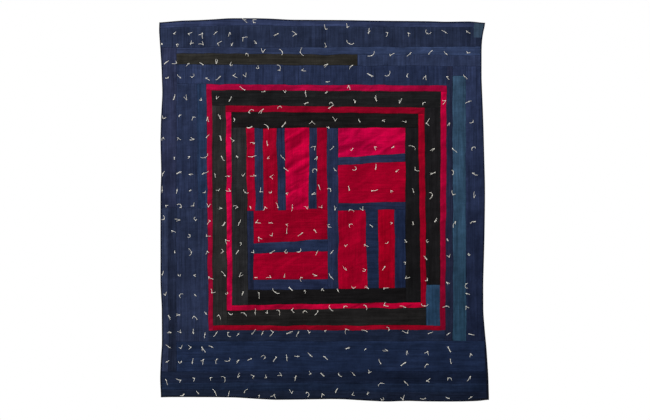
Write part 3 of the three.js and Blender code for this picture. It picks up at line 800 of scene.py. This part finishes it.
def backing():
    """The backing, whose edge is turned over the quilt's edge as a narrow hem on the front; the hem's dark
    tone is partly painted shade at the quilt's edge.
    """
    width, height = side_lengths(OUTLINE)
    u, v = np.meshgrid(spread(width, 2 * PATCH_STEP), spread(height, 2 * PATCH_STEP))
    shape = u.shape
    u, v = u.ravel(), v.ravel()
    edge = rim(*shape)
    parts = [back_points(*on_quad(inset(OUTLINE, HEM_TURN[0][0]), u, v))]
    faces = [tuple(reversed(f)) for f in grid_faces(*shape).tolist()]
    rings = [edge]
    wide = smooth((u[edge] - .9) / .1) * smooth((v[edge] - WIDE_FROM) / .05)
    for inside, share in HEM_TURN[1:]:
        turned = (on_quad(inset(OUTLINE, inside * more), u[edge], v[edge]) for more in (1, WIDE_HEM))
        x, z = (lerp(usual, widest, wide) for usual, widest in zip(*turned))
        wobble = 1 + .12 * ripples(x, z, .03, 21)
        points = lerp(back_points(x, z), top_points(x, z, HEM_PROUD * wobble), share)
        rings.append([len(u) + len(edge) * (len(rings) - 1) + i for i in range(len(edge))])
        parts.append(points)
    piece = mesh_object("backing_cloth", np.concatenate(parts), faces + bands(rings))
    thicken(piece, CLOTH, -1)
    # dark backing, darker towards the foot; where it shows as the hem on the front, its darkness is partly
    # painted shade at the quilt's edge
    tone = (0x1B2133, 0x13161F, "z", "z", COTTON)
    stand_for(piece, "backing", cloth_material("backing", *tone, OUTLINE))


def batting():
    """The batting between the cloths, pinched thin at the ties and at the edge."""
    width, height = side_lengths(OUTLINE)
    u, v = np.meshgrid(spread(width, SIM_STEP), spread(height, SIM_STEP))
    shape = u.shape
    x, z = on_quad(inset(OUTLINE, 4 * MM), u.ravel(), v.ravel())
    y_back = BACK_Y - back_depth(x, z) - CLOTH - .1 * MM
    y_front = np.minimum(TOP_Y - top_depth(x, z) + 5.6 * MM, y_back - .2 * MM)
    front, back = at_depth(x, z, y_front), at_depth(x, z, y_back)
    n = len(x)
    edge = rim(*shape)
    faces = (grid_faces(*shape).tolist() + [tuple(reversed(f)) for f in grid_faces(*shape, n).tolist()]
             + bands([[n + i for i in edge], edge]))
    n_fibre = Nodes("batting")
    here = n_fibre.place()
    fluff = n_fibre.noise(here, 260, 6, .7, .8)
    n_fibre.bump([(fluff, .6, 1.2)])
    tone = n_fibre.mix(fluff, rgb(0xD9D2C3), rgb(0xF1ECE0))
    material = n_fibre.finish(Base_Color=tone, Roughness=.95, Sheen_Weight=.3)
    piece = mesh_object("batting_pad", np.concatenate([front, back]), faces)
    stand_for(piece, "batting", material)


def sleeve():
    """A tube of cloth: its front leaf lies on the backing, its back leaf goes round the rod."""
    arc_steps, leaf_steps = 15, 12
    centre_y, centre_z = (ROD_LOW.y + ROD_HIGH.y) / 2, (ROD_LOW.z + ROD_HIGH.z) / 2
    radius = (ROD_HIGH.z - ROD_LOW.z) / 2 + SLEEVE_EASE
    flat_y = BACK_Y + .4 * MM
    reach_y, reach_z = flat_y - centre_y, SLEEVE_HIGH.z - centre_z
    apart = math.hypot(reach_y, reach_z)
    touch = math.atan2(reach_z, reach_y) - math.acos(radius / apart)
    turn = np.linspace(touch, -touch, arc_steps)
    arc = np.stack([centre_y + radius * np.cos(turn), centre_z + radius * np.sin(turn)], 1)
    top, foot = np.array([flat_y, SLEEVE_HIGH.z]), np.array([flat_y, 2 * centre_z - SLEEVE_HIGH.z])
    slope_in, slope_out = ([lerp(p, q, t) for t in np.linspace(0, 1, 8)[1:-1]]
                           for p, q in ((top, arc[0]), (arc[-1], foot)))
    leaf = [lerp(foot, top, t) for t in np.linspace(0, 1, leaf_steps)[:-1]]
    ring = np.array([top, *slope_in, *arc, *slope_out, *leaf])
    n = len(ring)
    length = SLEEVE_HIGH.x - SLEEVE_LOW.x
    xs = SLEEVE_LOW.x + length * spread(length, 8 * MM)
    middle = ring.mean(0)
    out = (ring - middle) / np.linalg.norm(ring - middle, axis=1)[:, None]
    loose = np.repeat([0, 1, .15, 1, 0], [1, len(slope_in), len(arc), len(slope_out), len(leaf)])
    points = []
    for x in xs:
        place_x = np.full(n, x)
        slack = .7 * MM * ripples(place_x, ring[:, 1] * .6, .05, 31)
        slack += .5 * MM * np.sin(math.tau * x / .014) * (np.abs(ring[:, 1] - centre_z) > .028)
        yz = ring + out * (loose * np.maximum(slack, -.3 * MM))[:, None]
        points += np.column_stack([place_x, yz]).tolist()
    rings = [[k * n + i for i in range(n)] for k in range(len(xs))]
    piece = mesh_object("sleeve_cloth", points, bands(rings))
    thicken(piece, SLEEVE_CLOTH, 0)
    tone = (0xD8D0BC, 0xD3CBB6, "x", "x", MUSLIN)
    quad = [np.array(p) for p in ((xs[0], .03), (xs[-1], .03), (xs[-1], -.05), (xs[0], -.05))]
    stand_for(piece, "hanging_sleeve", cloth_material("sleeve", *tone, quad))


# ---------------------------------------- ties
def across_line(line):
    """Two directions across a line at each of its points: along the cloth, and off it."""
    ahead = np.gradient(line, axis=0)
    ahead /= np.linalg.norm(ahead, axis=1)[:, None]
    side = np.cross(ahead, FRONT)
    side /= np.linalg.norm(side, axis=1)[:, None]
    return side, np.cross(side, ahead)


def tube(points, radii, sides=6):
    """A round skin along a line, with closed ends."""
    side, up = across_line(points)
    turn = math.tau * np.arange(sides) / sides
    ring = np.cos(turn)[:, None, None] * side + np.sin(turn)[:, None, None] * up
    skin = points + ring * radii[:, None]
    n = len(points)
    faces = [(s * n + i, s * n + i + 1, (s + 1) % sides * n + i + 1, (s + 1) % sides * n + i)
             for s in range(sides) for i in range(n - 1)]
    caps = [[s * n for s in range(sides)], [s * n + n - 1 for s in reversed(range(sides))]]
    return skin.reshape(-1, 3), faces + caps


def yarn(line, thick=1, taper=True):
    """Two plies twisted round each other along a line, a little loose at its cut end."""
    steps = np.linalg.norm(np.diff(line, axis=0), axis=1)
    run = np.concatenate([[0], np.cumsum(steps)])
    side, up = across_line(line)
    loose = 1 + .5 * smooth((run - run[-1] + .006) / .006) * taper
    for ply in (0, math.pi):
        turn = (math.tau * run / TWIST + ply)[:, None]
        reach = (.8 * thick * YARN * loose)[:, None]
        centre = line + (np.cos(turn) * side + .7 * np.sin(turn) * up) * reach
        yield tube(centre, thick * YARN * (1.05 - .2 * (loose - 1)))


def tail(rng, x, z, heading, bend, length, lift=0):
    """A tail's line from the knot: it curls in the plane and settles onto the cloth."""
    count = max(6, round(length / (2.4 * MM)))
    s = np.linspace(0, 1, count)
    angle = heading + bend * s**1.3 + .25 * np.sin(3 * s + rng.uniform(0, 6))
    step = length / (count - 1)
    px = x + np.concatenate([[0], np.cumsum(np.cos(angle[1:]) * step)])
    pz = z + np.concatenate([[0], np.cumsum(np.sin(angle[1:]) * step)])
    px, pz = inside_edge(px, pz, TAIL_FROM_EDGE)
    raised = 1.75 * YARN + .5 * MM + lift + 1.4 * MM * np.exp(-s * length / .006)
    return top_points(px, pz, raised)


def tie_tails(rng):
    """(heading, bend, length) of both tails, in one of the ways that they fall."""
    heading = rng.uniform(0, math.tau)
    side = rng.choice((-1, 1))
    first, second = rng.uniform(*TAIL), rng.uniform(*TAIL)
    fall = rng.choices(("together", "vee", "arch", "line", "ell", "hook"), (26, 22, 20, 12, 10, 10))[0]
    if fall == "together":
        bend = side * rng.uniform(0, .7)
        return (heading, bend, first * 1.25), (heading + side * .22, bend * .8, second * 1.1)
    if fall == "vee":
        return (heading, side * .2, first), (heading + rng.uniform(.7, 1.3), -side * .2, second)
    if fall == "arch":
        bend = rng.uniform(.9, 1.6)
        return (heading, -bend, first), (heading + math.pi, bend, second)
    if fall == "line":
        return (heading, side * .3, first * .9), (heading + math.pi, side * .2, second * .9)
    if fall == "ell":
        return (heading, side * .3, first * 1.2), (heading + side * 1.6, 0, second * .8)
    return (heading, side * 2.8, first * 1.5), (heading + side * 2.2, side * .5, second * .6)


def knot(x, z, thick):
    """The tied knot: a small loop of yarn that winds through itself."""
    count = 25
    t = np.linspace(0, math.tau, count)
    size = 1.15 * MM
    px, pz = x + size * (np.sin(t) + 2 * np.sin(2 * t)) * .8, z + size * (np.cos(t) - 2 * np.cos(2 * t)) * .8
    raised = 2.3 * MM - 1.1 * MM * np.sin(3 * t)
    line = at_depth(np.full(count, x), np.full(count, z), np.zeros(count))
    line[:, 0] += px - x
    line[:, 2] += pz - z
    line[:, 1] = top_points(np.array([x]), np.array([z]))[0, 1] - raised
    return tube(line, np.full(count, 1.15 * thick * YARN))


def back_stitch(rng, x, z):
    """The short stitch that shows on the backing behind a tie."""
    angle = rng.uniform(0, math.pi)
    s = np.linspace(-1, 1, 7)
    px, pz = x + STITCH * s * math.cos(angle), z + STITCH * s * math.sin(angle)
    line = back_points(px, pz, 1.6 * MM * s**2 - .3 * MM)
    return yarn(line, taper=False)


def yarn_material():
    n = Nodes("tie_yarn")
    here = n.place()
    fibre = n.noise(here, 1400, 4, .6, .6)
    patch = n.noise(here, 14, 2)
    tone = n.mix(n.ranged(patch, .3, .7), rgb(0xFFFDF5), rgb(0xF3EFE2))
    n.bump([(fibre, .6, .35)])
    return n.finish(Base_Color=n.scaled(tone, n.ranged(fibre, .3, .7, .9, 1.04)), Roughness=.9,
                    Sheen_Weight=.4)


def ties():
    """Every tie, in pieces by region so that each can be moved or recoloured alone."""
    rng = random.Random(23)
    material = yarn_material()
    regions = {}
    for x, z in TIES:
        across, down = shares(x, z)
        column = "left" if across < .48 else "right"
        row = ("top", "upper", "lower", "foot")[min(3, int(down * 4))]
        bag = regions.setdefault(f"ties_{row}_{column}", [])
        thick = rng.uniform(.75, 1.15)
        bag.append(knot(x, z, thick))
        for k, (heading, bend, length) in enumerate(tie_tails(rng)):
            bag += yarn(tail(rng, x, z, heading, bend, length, .8 * MM * k), thick)
        bag += back_stitch(rng, x, z)
    for name, bag in regions.items():
        points, faces, start = [], [], 0
        for skin, quads in bag:
            points.append(skin)
            faces += [tuple(start + i for i in face) for face in quads]
            start += len(skin)
        piece = mesh_object(name, np.concatenate(points), faces)
        piece.data.materials.append(material)
        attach(piece, "quilt")


# ---------------------------------------- rack
def wood(name, pale, dark, ring):
    """Planed wood with its grain along X."""
    n = Nodes(name)
    waves = n.node("TexWave", {"Vector": n.place((.5, 14, 14)), "Scale": ring, "Distortion": 9, "Detail": 4,
                               "Detail Scale": .5}, bands_direction="Z").outputs["Fac"]
    pores = n.noise(n.place((14, 700, 700)), 1, 4, .65)
    cloud = n.noise(n.place((2, 20, 20)), 1.5, 3)
    streaks = n.noise(n.place((3, 220, 220)), 1, 4, .6)
    latewood = n.math("MULTIPLY", n.math("POWER", waves, 2), n.ranged(streaks, .3, .7, .35, 1))
    tone = n.mix(n.math("MULTIPLY", latewood, .6), rgb(pale), rgb(dark))
    tone = n.scaled(tone, n.ranged(cloud, .3, .7, .9, 1.08))
    tone = n.scaled(tone, n.ranged(pores, .3, .7, .88, 1.06))
    n.bump([(streaks, .15, .1), (pores, .3, .12)])
    return n.finish(Base_Color=tone, Roughness=n.ranged(pores, .3, .7, .5, .66), Specular_IOR_Level=.35)


def steel(name, tone, rough):
    """Zinc-plated steel with fine scratches."""
    n = Nodes(name)
    scratches = n.noise(n.place((900, 60, 900)), 1, 3, .7)
    cloud = n.noise(n.place(), 70, 4, .6)
    color = n.scaled(n.mix(n.ranged(cloud, .3, .7), rgb(tone), rgb(0x9A9FA3)),
                     n.ranged(scratches, .3, .7, .9, 1.08))
    n.bump([(scratches, .2, .08), (cloud, .1, .15)])
    return n.finish(Base_Color=color, Metallic=1.0, Roughness=n.ranged(cloud, .3, .7, rough, rough + .14))


def rack():
    finishes = {
        "wall_rail": wood("pine", 0xDCBE90, 0xB98B55, 4.2),
        "rod": wood("dowel", 0xD6B384, 0xB48450, 5.5),
        "bracket_left": (bracket := steel("bracket_steel", 0xB4B7B9, .34)),
        "bracket_right": bracket,
        "bracket_screw_left": (screw := steel("screw_steel", 0xC7B78C, .26)),
        "bracket_screw_right": screw,
    }
    softened = {"wall_rail": 1.5, "rod": .8, "bracket_left": .4, "bracket_right": .4}
    for name, finish in finishes.items():
        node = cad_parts[name]
        node.data.materials.clear()
        node.data.materials.append(finish)
        if name in softened:
            bevel = node.modifiers.new("softened", "BEVEL")
            bevel.width, bevel.segments = softened[name] * MM, 2
            bevel.limit_method, bevel.angle_limit = "ANGLE", math.radians(40)


# ---------------------------------------- camera, lights, floor
def camera():
    middle = (cad_box[0] + cad_box[1]) / 2
    data = bpy.data.cameras.new("camera")
    data.lens, data.sensor_width = LENS, SENSOR
    eye = bpy.data.objects.new("camera", data)
    distance = PICTURE_WIDTH * LENS / SENSOR
    eye.location = (middle.x + CAMERA_ASIDE[0], TOP_Y - distance, middle.z + CAMERA_ASIDE[1])
    eye.rotation_euler = (math.pi / 2, 0, 0)
    bpy.context.scene.collection.objects.link(eye)
    bpy.context.scene.camera = eye


def area_light(name, location, size, power):
    data = bpy.data.lights.new(name, "AREA")
    data.shape, data.size, data.energy = "SQUARE", size, power
    lamp = bpy.data.objects.new(name, data)
    lamp.location = location
    direction = lamp.location - Vector(LIGHTS_AIM)
    lamp.rotation_euler = direction.to_track_quat("Z", "Y").to_euler()
    bpy.context.scene.collection.objects.link(lamp)


def studio():
    scene = bpy.context.scene
    scene.view_settings.view_transform = "Standard"
    world = bpy.data.worlds.new("studio")
    scene.world = world
    world.use_nodes = True
    tree = world.node_tree
    background = tree.nodes["Background"]
    background.inputs["Color"].default_value = (1, 1, 1, 1)
    seen = tree.nodes.new("ShaderNodeBackground")
    seen.inputs["Color"].default_value = (1, 1, 1, 1)
    background.inputs["Strength"].default_value = AMBIENT
    path = tree.nodes.new("ShaderNodeLightPath")
    mix = tree.nodes.new("ShaderNodeMixShader")
    tree.links.new(path.outputs["Is Camera Ray"], mix.inputs[0])
    tree.links.new(background.outputs[0], mix.inputs[1])
    tree.links.new(seen.outputs[0], mix.inputs[2])
    tree.links.new(mix.outputs[0], tree.nodes["World Output"].inputs["Surface"])
    for name, (location, size, power) in LIGHTS.items():
        area_light(name, location, size, power)


def floor():
    low = cad_box[0].z - FLOOR_DROP
    (left, right), (front, back) = FLOOR_SIDES
    material = Nodes("floor").finish(Base_Color=(.82, .82, .81, 1), Roughness=.7)
    points = [(left, front, low), (right, front, low), (right, back, low), (left, back, low)]
    plane = mesh_object("floor", points, [(0, 1, 2, 3)])
    plane.data.materials.append(material)
    plane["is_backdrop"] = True


camera()
studio()
floor()
for patch, (cad_node, corners) in all_patches().items():
    patch_cloth(patch, cad_node, corners, MEND_PROUD if patch == "border_corner_mend" else 0)
batting()
backing()
sleeve()
ties()
rack()

[[list(corner) for corner in box] for box in (cad_box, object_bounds())]
